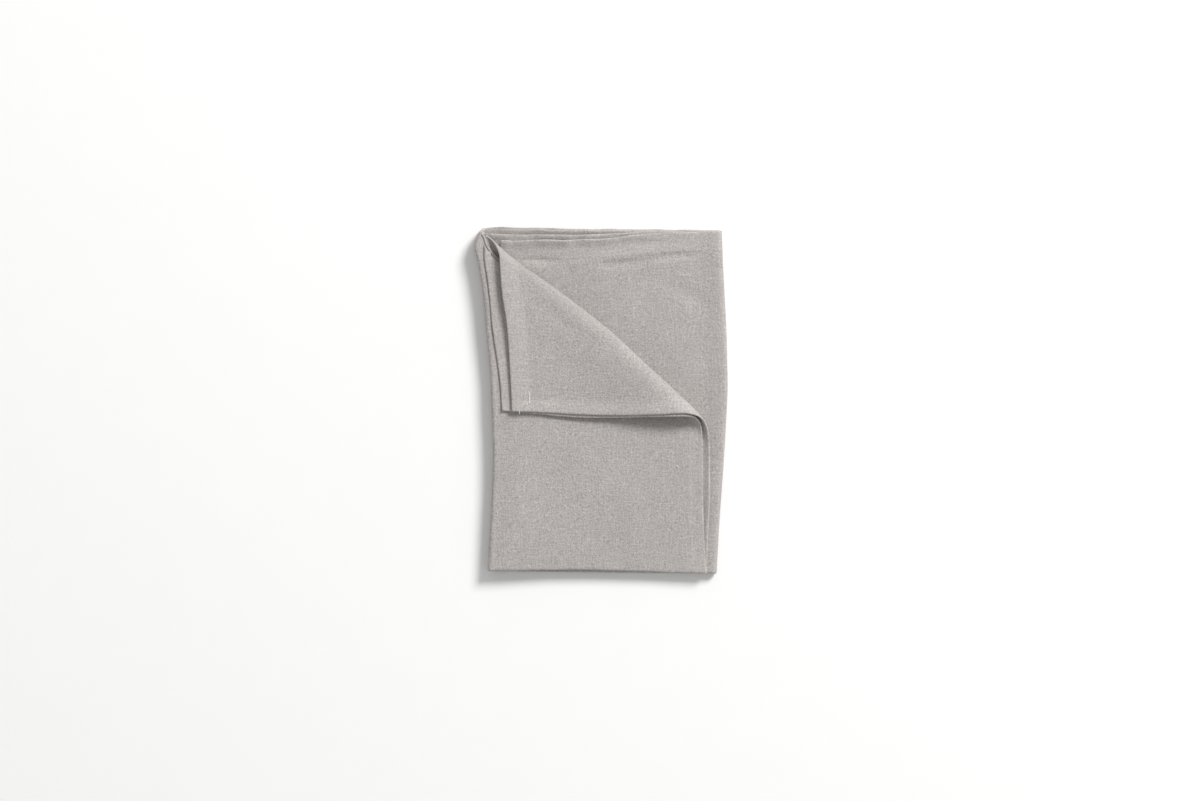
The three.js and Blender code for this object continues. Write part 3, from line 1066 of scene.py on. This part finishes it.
@dataclass(frozen=True)
class SlubCotton:
    """Matte, washed, plain-woven cotton in an uneven yarn.

    Sizes are in mm on the flat cloth. Reliefs are in mm too, from the lowest to the highest. The
    crinkles also carry painted shade: their hollows are darker in the colour and their crests
    lighter.
    """

    colour: tuple[float, float, float] = (0.424, 0.399, 0.382)
    thread_pitch: float = 0.5
    thread_relief: float = 0.13
    thread_gain: float = 0.06
    thread_wander: float = 0.9
    wander_patch: float = 4.0
    crinkle: tuple[float, float] = (0.72, 1.7)
    crinkle_turns: tuple[float, float] = (40.0, -48.0)
    crinkle_patch: float = 8.0
    patch_step: tuple[float, float] = (0.42, 0.58)
    crinkle_relief: float = 0.26
    # Painted shade: how much darker the crinkles' hollows, and how much lighter their crests, are in
    # the colour
    crinkle_hollow_shade: float = 1.15
    yarn_length: float = 6.0
    yarn_relief: float = 0.14
    yarn_gain: float = 0.8
    slub: tuple[float, float] = (0.55, 17.0)
    slub_step: tuple[float, float] = (0.6, 0.74)
    slub_relief: float = 0.015
    slub_gain: float = 0.14
    mottle: float = 34.0
    mottle_gain: float = 0.10
    hem_gain: float = 0.06
    fuzz: float = 0.3
    fuzz_relief: float = 0.04
    fuzz_gain: float = 0.06
    roughness: tuple[float, float] = (0.94, 0.86)
    specular: float = 0.25
    sheen: float = 0.5
    sheen_roughness: float = 0.4
    sheen_tint: tuple[float, float, float] = (1.0, 0.98, 0.96)

    def material(self, cut: ClothCut) -> Material:
        """Makes the cloth's material.

        Args:
            cut: The flat cloth, which says where the hems are.

        Returns:
            The material. It reads the cloth's own map.
        """
        sketch = Sketch("slub_cotton")
        place = sketch.laid(sketch.map(FLAT_MAP), (1 / cut.side, 1 / cut.side))
        wandered = self.wandered(sketch, place)
        crinkle = sketch.centred(self.crinkles(sketch, wandered))
        yarn = sketch.centred(self.yarn(sketch, wandered))
        weave = self.weave(sketch, wandered)
        slubs = self.slubs(sketch, place)
        fuzz = sketch.centred(sketch.noise(sketch.laid(place, (self.fuzz, self.fuzz)), 2))
        mottle = sketch.centred(sketch.noise(sketch.laid(place, (self.mottle, self.mottle)), 2))
        gain = sketch.weighted_sum(
            # painted shade in the crinkles' hollows, and painted light on their crests
            (crinkle, self.crinkle_hollow_shade),
            (yarn, self.yarn_gain),
            (slubs, self.slub_gain),
            (fuzz, self.fuzz_gain),
            (mottle, self.mottle_gain),
            (self.hem(sketch, place, cut), self.hem_gain),
            (weave, self.thread_gain),
        )
        relief = sketch.weighted_sum(
            (crinkle, self.crinkle_relief),
            (yarn, self.yarn_relief),
            (slubs, self.slub_relief),
            (weave, self.thread_relief / 2),
            (fuzz, self.fuzz_relief),
        )
        sketch.bump(relief, MM)
        feeds = {
            "Base Color": sketch.tinted(self.colour, sketch.math("ADD", gain, 1.0)),
            "Roughness": sketch.ramped(slubs, 0, 1, *self.roughness),
            "Specular IOR Level": self.specular,
            "Sheen Weight": self.sheen,
            "Sheen Roughness": self.sheen_roughness,
            "Sheen Tint": (*self.sheen_tint, 1.0),
        }
        sketch.dress(feeds)
        return sketch.material

    def wandered(self, sketch: Sketch, place: Socket) -> Socket:
        """Lets the threads wander a little, as they do in washed cloth.

        Args:
            sketch: The material's nodes.
            place: Places on the flat cloth.

        Returns:
            The places that the threads have wandered to.
        """
        patches = sketch.laid(place, (self.wander_patch, self.wander_patch))
        reach = (self.thread_wander, self.thread_wander, 0)
        feeds = {0: sketch.noise(patches, 1, "Color"), 1: reach, 2: place}
        return sketch.node("ShaderNodeVectorMath", feeds, operation="MULTIPLY_ADD").outputs[0]

    def crinkles(self, sketch: Sketch, place: Socket) -> Socket:
        """Makes short, fine wrinkles that run one way in some patches and crosswise in others.

        Args:
            sketch: The material's nodes.
            place: Places on the flat cloth.

        Returns:
            The wrinkles' height, round a half.
        """
        one_way, crosswise = (
            sketch.noise(sketch.laid(place, self.crinkle, math.radians(turn)), 1)
            for turn in self.crinkle_turns
        )
        patch = sketch.noise(sketch.laid(place, (self.crinkle_patch, self.crinkle_patch)), 1)
        step = sketch.math("SUBTRACT", one_way, crosswise)
        return sketch.math("MULTIPLY_ADD", step, sketch.ramped(patch, *self.patch_step), crosswise)

    def both_ways(self, sketch: Sketch, place: Socket, size: tuple, detail: float) -> list[Socket]:
        """Makes noise that is drawn out along the threads, both ways of the cloth.

        Args:
            sketch: The material's nodes.
            place: Places on the flat cloth.
            size: Width and length of its blotches.
            detail: The noise's detail.

        Returns:
            The warp's noise and the weft's.
        """
        return [sketch.noise(sketch.laid(place, way), detail) for way in (size, size[::-1])]

    def yarn(self, sketch: Sketch, place: Socket) -> Socket:
        """Makes the uneven tone and thickness of the yarn, both ways of the cloth."""
        ways = self.both_ways(sketch, place, (self.thread_pitch, self.yarn_length), 1)
        return sketch.math("MULTIPLY", sketch.math("ADD", *ways), 0.5)

    def weave(self, sketch: Sketch, place: Socket) -> Socket:
        """Makes the over and under of a plain weave, between -1 and 1."""
        per_mm = math.pi / self.thread_pitch
        turns = [sketch.math("MULTIPLY", axis, per_mm) for axis in sketch.axes(place)[:2]]
        return sketch.math("MULTIPLY", *(sketch.math("SINE", turn) for turn in turns))

    def slubs(self, sketch: Sketch, place: Socket) -> Socket:
        """Makes the long thick places in single threads, both ways of the cloth."""
        ways = self.both_ways(sketch, place, self.slub, 0)
        return sketch.math("MAXIMUM", *(sketch.ramped(way, *self.slub_step) for way in ways))

    def hem(self, sketch: Sketch, place: Socket, cut: ClothCut) -> Socket:
        """Tells the hems, whose three layers let less dark through than one.

        Args:
            sketch: The material's nodes.
            place: Places on the flat cloth.
            cut: The flat cloth.

        Returns:
            1 on the hems and 0 on the single cloth.
        """
        shares = []
        for axis, hem in zip(sketch.axes(place), (cut.narrow_hem, cut.wide_hem)):
            off_centre = sketch.math("ABSOLUTE", sketch.math("SUBTRACT", axis, cut.half))
            inner_edge = cut.half - hem
            shares.append(sketch.ramped(off_centre, inner_edge - cut.hem_step, inner_edge))
        return sketch.math("MAXIMUM", *shares)


@dataclass(frozen=True)
class SewingThread:
    """Two-ply cotton sewing thread, a little lighter than the cloth."""

    colour: tuple[float, float, float] = (0.53, 0.505, 0.48)
    plies: int = 2
    ply_length: float = 0.9
    ply_gain: float = 0.06
    fuzz: tuple[float, float] = (0.25, 0.11)
    fuzz_gain: float = 0.25
    fuzz_step: tuple[float, float] = (0.3, 0.7)
    relief: float = 0.06
    roughness: tuple[float, float] = (0.7, 0.9)
    sheen: float = 0.2

    def material(self) -> Material:
        """Makes the thread's material, which reads the thread's own map.

        Returns:
            The material.
        """
        sketch = Sketch("sewing_thread")
        place = sketch.map(THREAD_MAP)
        along, around, _ = sketch.axes(place)
        run = sketch.math("MULTIPLY", along, 2 * math.pi / self.ply_length)
        turn = sketch.math("MULTIPLY", around, 2 * math.pi * self.plies)
        plies = sketch.math("SINE", sketch.math("ADD", run, turn))
        fuzz = sketch.noise(sketch.laid(place, self.fuzz), 2)
        gain = sketch.weighted_sum((plies, self.ply_gain), (sketch.centred(fuzz), self.fuzz_gain))
        sketch.bump(sketch.weighted_sum((plies, 0.5), (fuzz, 0.5)), self.relief * MM)
        feeds = {
            "Base Color": sketch.tinted(self.colour, sketch.math("ADD", gain, 1.0)),
            "Roughness": sketch.ramped(fuzz, *self.fuzz_step, *self.roughness),
            "Sheen Weight": self.sheen,
        }
        sketch.dress(feeds)
        return sketch.material


@dataclass
class NapkinCloth:
    """The cloth itself: one sheet with both faces, its turned hems and a rounded edge.

    The mesh is finest on the hems' steps and in the folds, and coarse where nothing shows.
    """

    shape: FoldedShape = field(default_factory=FoldedShape)
    finish: SlubCotton = SlubCotton()
    edge_rounds: tuple[float, ...] = (50.0, 90.0, 130.0)
    across_stretches: tuple[Stretch, ...] = (
        Stretch(0, 1, 0.5),
        Stretch(1, 6.4, 1.35),
        Stretch(6.4, 8.2, 0.45),
        Stretch(8.2, 8.7, 0.25),
        Stretch(8.7, 9.7, 1.0),
        Stretch(9.7, 130, 1.95),
        Stretch(130, 166, 1.1),
        Stretch(166, 297, 6.2),
        Stretch(297, 313, 0.8),
        Stretch(313, 440.3, 2.2),
        Stretch(440.3, 441.3, 1.0),
        Stretch(441.3, 441.8, 0.25),
        Stretch(441.8, 443.6, 0.6),
        Stretch(443.6, 449, 1.8),
        Stretch(449, 450, 0.5),
    )
    fold_stretch: Stretch = Stretch(0, 1.18, 0.4)
    outer_stretches: tuple[Stretch, ...] = (
        Stretch(1.18, 5.2, 1.0),
        Stretch(5.2, 211.2, 2.2),
    )
    inner_stretches: tuple[Stretch, ...] = (
        Stretch(1.18, 5.2, 1.34),
        Stretch(5.2, 79.2, 4.6),
        Stretch(79.2, 211.2, 2.2),
    )
    hem_stretches: tuple[Stretch, ...] = (
        Stretch(211.2, 212.5, 0.65),
        Stretch(212.5, 213, 0.25),
        Stretch(213, 214.8, 0.45),
        Stretch(214.8, 224, 1.84),
        Stretch(224, 225, 0.5),
    )
    bake_margin: float = 0.01

    def build(self) -> Object:
        """Returns:
            The cloth.
        """
        across = lines(self.across_stretches)
        outer = lines((self.fold_stretch, *self.outer_stretches, *self.hem_stretches))
        inner = lines((self.fold_stretch, *self.inner_stretches, *self.hem_stretches))
        along = np.concatenate([-inner[:0:-1], outer])
        points, faces, corners = self.skin(across, along)
        piece = new_piece("folded_cloth", points, faces)
        self.add_maps(piece, corners)
        piece.data.materials.append(self.finish.material(self.shape.cut))
        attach(piece, BODY)
        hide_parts(CLOTH_NODE)
        return piece

    def skin(self, across: Array, along: Array) -> tuple[Array, list[list[int]], Array]:
        """Makes both faces of the cloth and the rounded edge that joins them.

        Args:
            across: Places of the mesh's lines across the flat cloth.
            along: Places of its lines along the flat cloth.

        Returns:
            Points, faces, and each face corner's across, along and face.
        """
        cut = self.shape.cut
        grids = np.meshgrid(across, along, indexing="ij")
        flat_across, flat_along = (grid.ravel() for grid in grids)
        middle, normal, run_across, run_along = self.shape.frame_at(flat_across, flat_along)
        right = cut.half_thickness(flat_across, flat_along, Face.RIGHT)
        wrong = cut.half_thickness(flat_across, flat_along, Face.WRONG)
        columns, rows = len(across), len(along)
        index = np.arange(columns * rows).reshape(columns, rows)
        quads = np.stack(
            [index[:-1, :-1], index[:-1, 1:], index[1:, 1:], index[1:, :-1]], axis=-1
        ).reshape(-1, 4)
        rim = np.concatenate([index[:-1, 0], index[-1, :-1], index[:0:-1, -1], index[0, :0:-1]])
        count = columns * rows
        bulge = (right + wrong)[rim] / 2
        centre = middle[:, rim] + normal[:, rim] * (right - wrong)[rim] / 2
        outward = self.edge_directions(index, rim, run_across, run_along)
        rings = []
        for turn in np.radians(self.edge_rounds):
            direction = normal[:, rim] * math.cos(turn) + outward * math.sin(turn)
            rings.append(centre + bulge * direction)
        points = np.concatenate([middle + normal * right, middle - normal * wrong, *rings], axis=1)
        ring_starts = [2 * count + step * len(rim) for step in range(len(rings))]
        loops = [rim, *(start + np.arange(len(rim)) for start in ring_starts), rim + count]
        edge_quads = [
            np.stack([one, np.roll(one, -1), np.roll(other, -1), other], axis=-1)
            for one, other in zip(loops, loops[1:])
        ]
        faces = np.concatenate([quads, quads[:, ::-1] + count, *edge_quads])
        flat = np.stack([flat_across, flat_along], axis=-1)
        flat = np.concatenate([flat, flat, *[flat[rim]] * len(rings)])
        on_wrong = np.arange(len(faces)) >= len(quads)
        on_wrong[2 * len(quads) : len(faces) - len(rim)] = False
        corner_face = np.broadcast_to(on_wrong[:, None, None], (*faces.shape, 1))
        return points.T, faces.tolist(), np.concatenate([flat[faces], corner_face], axis=-1)

    def edge_directions(self, index: Array, rim: Array, run_across: Array, run_along: Array) -> Array:
        """Finds the way out of the cloth at each point of its edge.

        Args:
            index: Numbers of the grid's points.
            rim: Numbers of the points round the edge.
            run_across: Direction of rising across at each point.
            run_along: Direction of rising along at each point.

        Returns:
            Unit directions.
        """
        columns, rows = index.shape
        column, row = np.divmod(rim, rows)
        over_across = (column == columns - 1).astype(float) - (column == 0)
        over_along = (row == rows - 1).astype(float) - (row == 0)
        return unit(run_across[:, rim] * over_across + run_along[:, rim] * over_along)

    def add_maps(self, piece: Object, corners: Array) -> None:
        """Gives the cloth the map that its weave follows, and one with no part on another.

        Args:
            piece: The cloth.
            corners: Across, along and face of each face corner.
        """
        cut = self.shape.cut
        across = corners[..., 0].ravel() / cut.side
        along = (corners[..., 1].ravel() + cut.half) / cut.side
        add_map(piece, FLAT_MAP, np.stack([across, along], axis=-1))
        start = self.bake_margin + corners[..., 2].ravel() / 2
        baked_across = start + across * (0.5 - 2 * self.bake_margin)
        baked_along = blend(self.bake_margin, 1 - self.bake_margin, along)
        add_map(piece, BAKE_MAP, np.stack([baked_across, baked_along], axis=-1))


@dataclass(frozen=True)
class ThreadShape:
    """A round thread, as rings of points along a line."""

    radius: float = 0.2
    sides: int = 6

    def tubes(self, paths: Array, ups: Array, radii: Array) -> tuple[Array, list[list[int]], Array]:
        """Makes one closed tube along each path.

        Args:
            paths: Points of each path, as path, point and X, Y, Z.
            ups: A direction off the path at each of its points.
            radii: The tube's radius at each point of a path.

        Returns:
            Points, faces, and the length along the thread and share around it of each corner.
        """
        count, steps, _ = paths.shape
        runs = np.gradient(paths, axis=1)
        runs /= np.linalg.norm(runs, axis=2, keepdims=True)
        aside = np.cross(runs, ups)
        aside /= np.linalg.norm(aside, axis=2, keepdims=True)
        up = np.cross(aside, runs)
        turn = 2 * math.pi * np.arange(self.sides) / self.sides
        ring = aside[:, :, None] * np.cos(turn)[:, None] + up[:, :, None] * np.sin(turn)[:, None]
        points = paths[:, :, None] + ring * radii[None, :, None, None]
        index = np.arange(count * steps * self.sides).reshape(count, steps, self.sides)
        here, there = index[:, :-1], index[:, 1:]
        quads = np.stack(
            [here, np.roll(here, -1, axis=2), np.roll(there, -1, axis=2), there], axis=-1
        ).reshape(-1, 4)
        caps = np.concatenate([index[:, 0, ::-1], index[:, -1]])
        faces = quads.tolist() + caps.tolist()
        lengths = np.linalg.norm(np.diff(paths, axis=1), axis=2).cumsum(axis=1)
        lengths = np.concatenate([np.zeros((count, 1)), lengths], axis=1)
        around = np.arange(self.sides) / self.sides
        flat = np.stack(np.broadcast_arrays(lengths[:, :, None], around[None, None, :]), axis=-1)
        order = np.concatenate([np.ravel(quads), np.ravel(caps)])
        return points.reshape(-1, 3), faces, flat.reshape(-1, 2)[order]


def sewn_piece(name: str, tubes: tuple, finish: SewingThread) -> Object:
    """Args:
        name: The piece's name.
        tubes: Points, faces and map of its threads.
        finish: Its finish.

    Returns:
        The piece.
    """
    points, faces, corner_places = tubes
    piece = new_piece(name, points, faces)
    add_map(piece, THREAD_MAP, corner_places)
    piece.data.materials.append(finish.material())
    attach(piece, BODY)
    return piece


@dataclass
class HemStitching:
    """The straight stitches that hold the hems, showing on both faces of the cloth."""

    shape: FoldedShape
    finish: SewingThread = SewingThread()
    thread: ThreadShape = ThreadShape()
    pitch: float = 3.0
    stitch_length: float = 2.5
    rings: int = 5
    dip: float = 0.42
    end_taper: float = 0.45
    line_end: float = 1.5
    wander: float = 0.12
    seed: int = 5

    def stitch_lines(self) -> list[Array]:
        """Lays out the four lines of stitches, each from edge to edge.

        Returns:
            The two ends of each line, as across and along.
        """
        cut = self.shape.cut
        low, high = self.line_end, cut.side - self.line_end
        columns = (cut.narrow_seam, cut.side - cut.narrow_seam)
        rows = (cut.half - cut.wide_seam, cut.wide_seam - cut.half)
        lines_along = [((at, low - cut.half), (at, high - cut.half)) for at in columns]
        lines_across = [((low, at), (high, at)) for at in rows]
        return [np.array(line) for line in lines_along + lines_across]

    def stitch_places(self, line: Array, draw: np.random.Generator) -> Array:
        """Sets out the points of each stitch along a line.

        Args:
            line: The line's two ends.
            draw: Where the slight unevenness comes from.

        Returns:
            Across and along, as stitch, point and the two of them.
        """
        start, end = line
        length = float(np.linalg.norm(end - start))
        heading = (end - start) / length
        count = int(length / self.pitch)
        middles = (np.arange(count) + 0.5) * length / count
        aside = np.array([-heading[1], heading[0]]) * draw.normal(0, self.wander, (count, 1, 1))
        steps = np.linspace(-0.5, 0.5, self.rings) * self.stitch_length
        walk = middles[:, None, None] + steps[None, :, None]
        return start + heading * walk + aside

    def build(self) -> Object:
        """Makes every stitch, as one piece, and gives it its finish.

        Returns:
            The stitches.
        """
        draw = np.random.default_rng(self.seed)
        cut = self.shape.cut
        places = np.concatenate([self.stitch_places(line, draw) for line in self.stitch_lines()])
        across, along = places[..., 0], places[..., 1]
        middle, normal, _, _ = self.shape.frame_at(across.ravel(), along.ravel())
        to_end = np.linspace(-1, 1, self.rings) ** 4
        sunk = {Face.RIGHT: 0.0, Face.WRONG: self.thread.radius}
        paths, ups = [], []
        for face in Face:
            height = cut.half_thickness(across, along, face) - self.dip * to_end - sunk[face]
            off = normal * (height.ravel() * face.value)
            paths.append((middle + off).T.reshape(*across.shape, 3))
            ups.append(normal.T.reshape(*across.shape, 3) * face.value)
        radii = self.thread.radius * (1 - self.end_taper * to_end)
        tubes = self.thread.tubes(np.concatenate(paths), np.concatenate(ups), radii)
        return sewn_piece("hem_stitches", tubes, self.finish)


@dataclass
class ThreadEnds:
    """The back stitches where the wide hem's seam ends, a thread's loose end and a stray speck."""

    shape: FoldedShape
    finish: SewingThread = SewingThread(colour=(0.66, 0.64, 0.62))
    thread: ThreadShape = ThreadShape(radius=0.26, sides=8)
    steps: int = 25
    end_share: float = 0.5
    tack_from: float = 4.2
    tack_length: float = 8.6
    tack_pitch: float = 2.6
    tack_rows: int = 2
    tack_shift: float = 0.4
    tack_spread: float = 0.42
    tack_wander: float = 0.12
    tack_wander_turn: float = 7.0
    tack_sunk: float = 0.1
    tack_height: float = 0.18
    tail_from: float = 0.6
    tail_inset: float = 3.6
    tail_length: float = 3.0
    tail_curl: float = 0.7
    tail_curl_turn: float = 2.6
    tail_drop: float = 0.9
    speck_place: tuple[float, float] = (16.1, 69.3)
    speck_size: tuple[float, float] = (0.65, 0.4)
    speck_turns: float = 1.3
    speck_narrowing: float = 0.08
    speck_rise: float = 0.05

    def build(self) -> Object:
        """Makes the back stitches, the loose end and the stray speck, as one piece.

        Returns:
            The thread ends.
        """
        paths = [self.tack_path(row) for row in range(self.tack_rows)]
        paths = np.stack([*paths, self.tail_path(), self.speck_path()])
        ups = np.zeros_like(paths)
        ups[..., 2] = 1
        radii = np.full(self.steps, self.thread.radius)
        radii[[0, -1]] *= self.end_share
        return sewn_piece("thread_ends", self.thread.tubes(paths, ups, radii), self.finish)

    def tack_path(self, row: int) -> Array:
        """Lays one row of back stitches on the wide hem's seam, dipping at each stitch.

        Args:
            row: The row's number.

        Returns:
            The thread's points.
        """
        cut = self.shape.cut
        share = np.linspace(0, 1, self.steps)
        across = self.tack_from + row * self.tack_shift + self.tack_length * share
        aside = (row - (self.tack_rows - 1) / 2) * self.tack_spread
        aside = aside + self.tack_wander * np.sin(self.tack_wander_turn * share + row)
        middle, normal, _, _ = self.shape.frame_at(across, cut.wide_seam - cut.half - aside)
        stitches = np.abs(np.sin(math.pi * share * self.tack_length / self.tack_pitch + row))
        height = cut.hem_right_face - self.tack_sunk + self.tack_height * stitches
        return (middle + normal * height).T

    def tail_path(self) -> Array:
        """Lets a thread's end hang out past the corner's lower edge and curl a little.

        Returns:
            The thread's points.
        """
        cut = self.shape.cut
        share = np.linspace(0, 1, self.steps)
        start = np.array([[self.tail_from], [self.tail_inset - cut.half]])
        middle, normal, run_across, run_along = self.shape.frame_at(*start)
        out = -run_across * self.tail_length * share
        aside = run_along * self.tail_curl * np.sin(self.tail_curl_turn * share)
        drop = normal * (cut.hem_right_face - self.tail_drop * share**2)
        return (middle + out + aside + drop).T

    def speck_path(self) -> Array:
        """Winds a stray bit of yarn into a speck on the top panel.

        Returns:
            The yarn's points.
        """
        turn = np.linspace(0, 2 * math.pi * self.speck_turns, self.steps)
        narrowed = 1 - self.speck_narrowing * turn
        across = self.speck_place[0] + self.speck_size[0] * narrowed * np.cos(turn)
        along = self.speck_place[1] + self.speck_size[1] * narrowed * np.sin(turn)
        middle, normal, _, _ = self.shape.frame_at(across, along)
        return (middle + normal * (self.shape.cut.right_face + self.speck_rise * turn)).T


@dataclass(frozen=True)
class PaleFloor:
    """The plain, nearly white surface that the napkin lies on."""

    half_size: float = 3000.0
    colour: tuple[float, float, float] = (0.95, 0.95, 0.945)
    roughness: float = 0.9
    blotch: float = 25.0
    blotch_step: tuple[float, float] = (0.3, 0.7)
    blotch_gain: tuple[float, float] = (0.995, 1.0)

    def build(self) -> Object:
        """Lays the floor, which is attached to no body of the napkin.

        Returns:
            The floor.
        """
        bpy.ops.object.select_all(action="DESELECT")
        bpy.ops.mesh.primitive_plane_add(size=2 * self.half_size * MM)
        floor = bpy.context.active_object
        floor.name = "floor"
        floor.data.materials.append(self.material())
        return floor

    def material(self) -> Material:
        """Makes the floor's material, which is all but even.

        Returns:
            The material.
        """
        sketch = Sketch("pale_floor")
        place = sketch.node("ShaderNodeTexCoord", {}).outputs["Object"]
        blotches = sketch.noise(sketch.laid(place, (self.blotch * MM, self.blotch * MM)), 2)
        gain = sketch.ramped(blotches, *self.blotch_step, *self.blotch_gain)
        sketch.dress({"Base Color": sketch.tinted(self.colour, gain), "Roughness": self.roughness})
        return sketch.material


@dataclass(frozen=True)
class SoftLight:
    """One large, soft studio light that faces the napkin."""

    name: str
    place: tuple[float, float, float]
    size: float
    power: float

    def build(self) -> Object:
        """Hangs the light.

        Returns:
            The light.
        """
        lamp = bpy.data.lights.new(self.name, "AREA")
        lamp.shape = "DISK"
        lamp.size = self.size * MM
        lamp.energy = self.power
        light = bpy.data.objects.new(self.name, lamp)
        light.location = Vector(self.place) * MM
        light.rotation_euler = light.location.to_track_quat("Z", "Y").to_euler()
        light.visible_camera = False
        bpy.context.scene.collection.objects.link(light)
        return light


@dataclass(frozen=True)
class Studio:
    """The floor, the lights, the sky's light and the camera straight above."""

    floor: PaleFloor = PaleFloor()
    lights: tuple[SoftLight, ...] = (
        SoftLight("key_light", place=(2030, 2415, 2465), size=1500, power=154),
    )
    sky: tuple[float, float, float] = (1.0, 1.0, 1.0)
    sky_strength: float = 0.495
    picture_width: float = 780.0
    camera_height: float = 2400.0
    sensor_width: float = 36.0
    napkin_top: float = 9.0
    look_at: tuple[float, float] = (-0.65, 0.2)

    def build(self) -> Object:
        """Sets the studio up.

        Returns:
            The camera.
        """
        self.floor.build()
        for light in self.lights:
            light.build()
        world = bpy.data.worlds.new("studio")
        world.use_nodes = True
        background = world.node_tree.nodes["Background"]
        background.inputs["Color"].default_value = (*self.sky, 1.0)
        background.inputs["Strength"].default_value = self.sky_strength
        bpy.context.scene.world = world
        bpy.context.scene.view_settings.view_transform = "Standard"
        return self.camera()

    def camera(self) -> Object:
        """Hangs the camera so that the picture's width is the given one at the napkin's top.

        Returns:
            The camera.
        """
        lens = bpy.data.cameras.new("camera")
        lens.sensor_width = self.sensor_width
        lens.lens = self.sensor_width * self.camera_height / self.picture_width
        camera = bpy.data.objects.new("camera", lens)
        camera.location = Vector((*self.look_at, self.camera_height + self.napkin_top)) * MM
        bpy.context.scene.collection.objects.link(camera)
        bpy.context.scene.camera = camera
        return camera


def report(piece: Object) -> None:
    """Logs what a piece came to."""
    size = [round(side / MM, 1) for side in piece.dimensions]
    log.info("%s: %d faces, %s mm", piece.name, len(piece.data.polygons), size)


def main() -> None:
    """Builds the napkin and its studio."""
    logging.basicConfig(level=logging.INFO, format="%(message)s")
    Studio().build()
    shape = FoldedShape()
    cloth = NapkinCloth(shape).build()
    stitches = HemStitching(shape).build()
    ends = ThreadEnds(shape).build()
    bpy.context.view_layer.update()
    for piece in (cloth, stitches, ends):
        report(piece)


if __name__ == "__main__":
    main()
